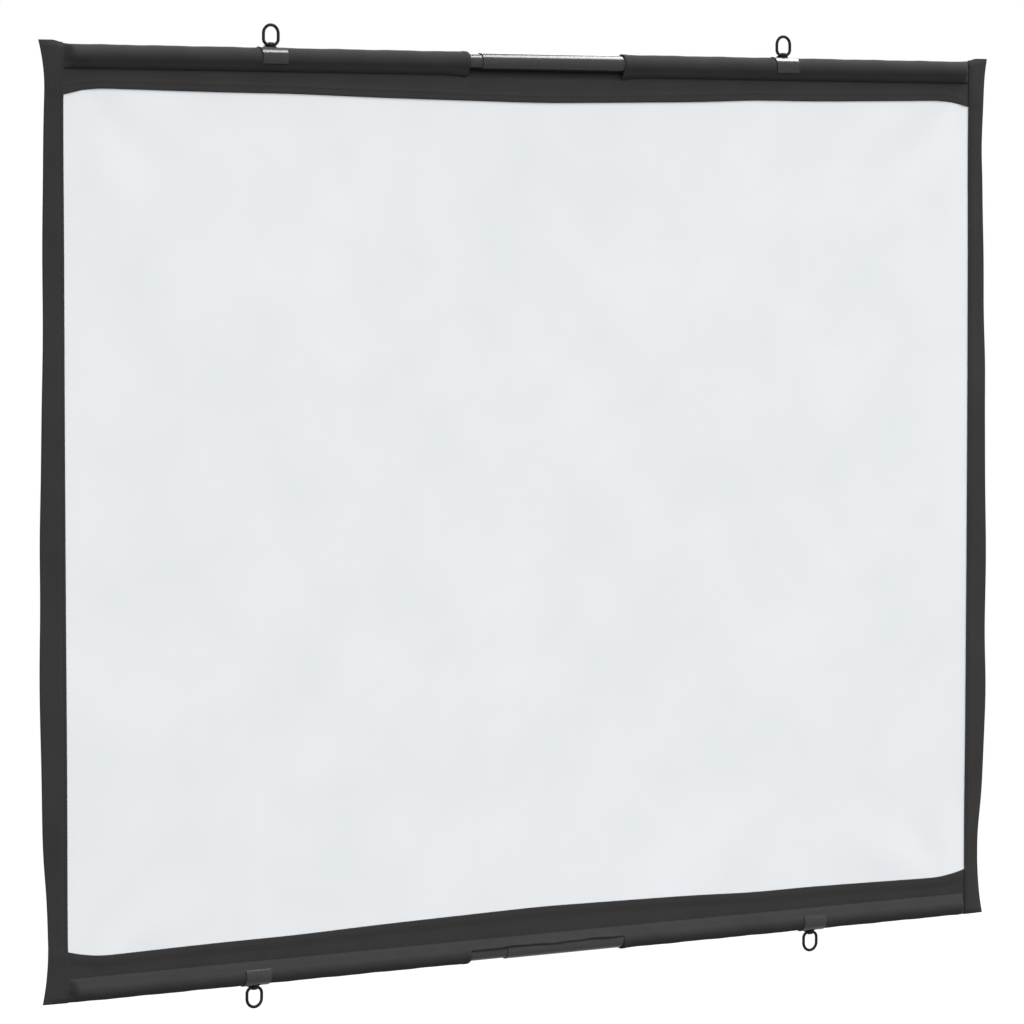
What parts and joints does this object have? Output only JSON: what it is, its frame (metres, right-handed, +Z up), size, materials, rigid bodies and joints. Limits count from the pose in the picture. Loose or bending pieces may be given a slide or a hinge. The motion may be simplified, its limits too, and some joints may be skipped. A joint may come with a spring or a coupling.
{
  "type": "wall-mounted projection screen",
  "caption": "Fabric projection screen with black borders, spread by telescopic poles in sewn pockets and hung by ring clips.",
  "frame": {"origin": "midway across the screen, on the line of the wall hooks, where the upper rings' inner tops rest", "axes": "+X to the viewer's right along the poles, +Y towards the wall, +Z up; the white face looks towards -Y"},
  "size_m": [1.0678, 0.0198, 0.8933],
  "materials": {
    "white_cloth": "matt white projection cloth",
    "black_cloth": "plain-woven black polyester",
    "black_steel": "semi-gloss black paint on steel tube",
    "black_plastic": "moulded black polyethylene",
    "spring_steel": "semi-gloss black lacquer on spring steel",
    "ring_wire": "black lacquered wire"
  },
  "bodies": {
    "screen": {"white_panel": "white_cloth", "top_band": "black_cloth", "bottom_band": "black_cloth", "left_hem": "black_cloth", "right_hem": "black_cloth", "top_outer_pole": "black_steel", "bottom_outer_pole": "black_steel", "top_right_plug": "black_plastic", "bottom_right_plug": "black_plastic"},
    "top_inner_tube": {"top_inner_pole": "black_steel", "top_left_plug": "black_plastic"},
    "bottom_inner_tube": {"bottom_inner_pole": "black_steel", "bottom_left_plug": "black_plastic"},
    "top_left_clip": {"top_left_clip": "spring_steel"},
    "top_right_clip": {"top_right_clip": "spring_steel"},
    "bottom_left_clip": {"bottom_left_clip": "spring_steel"},
    "bottom_right_clip": {"bottom_right_clip": "spring_steel"},
    "top_left_ring": {"top_left_ring": "ring_wire"},
    "top_right_ring": {"top_right_ring": "ring_wire"},
    "bottom_left_ring": {"bottom_left_ring": "ring_wire"},
    "bottom_right_ring": {"bottom_right_ring": "ring_wire"}
  },
  "joints": [
    {"name": "top_pole_telescope", "type": "slide", "parent": "screen", "child": "top_inner_tube", "axis": [1, 0, 0], "range_m": [0, 0.42]},
    {"name": "bottom_pole_telescope", "type": "slide", "parent": "screen", "child": "bottom_inner_tube", "axis": [1, 0, 0], "range_m": [0, 0.42]},
    {"name": "top_left_clip_slide", "type": "slide", "parent": "screen", "child": "top_left_clip", "axis": [1, 0, 0], "range_m": [-0.18, 0.19]},
    {"name": "top_right_clip_slide", "type": "slide", "parent": "screen", "child": "top_right_clip", "axis": [1, 0, 0], "range_m": [-0.17, 0.19]},
    {"name": "bottom_left_clip_slide", "type": "slide", "parent": "screen", "child": "bottom_left_clip", "axis": [1, 0, 0], "range_m": [-0.16, 0.21]},
    {"name": "bottom_right_clip_slide", "type": "slide", "parent": "screen", "child": "bottom_right_clip", "axis": [1, 0, 0], "range_m": [-0.205, 0.16]},
    {"name": "top_left_ring_swing", "type": "hinge", "parent": "top_left_clip", "child": "top_left_ring", "pos_m": [-0.295, 0, -0.01655], "axis": [1, 0, 0], "range_deg": [-45, 90]},
    {"name": "top_right_ring_swing", "type": "hinge", "parent": "top_right_clip", "child": "top_right_ring", "pos_m": [0.28, 0, -0.01655], "axis": [1, 0, 0], "range_deg": [-45, 90]},
    {"name": "bottom_left_ring_swing", "type": "hinge", "parent": "bottom_left_clip", "child": "bottom_left_ring", "pos_m": [-0.3155, 0, -0.87215], "axis": [-1, 0, 0], "range_deg": [-45, 90]},
    {"name": "bottom_right_ring_swing", "type": "hinge", "parent": "bottom_right_clip", "child": "bottom_right_ring", "pos_m": [0.316, 0, -0.87215], "axis": [-1, 0, 0], "range_deg": [-45, 90]}
  ]
}
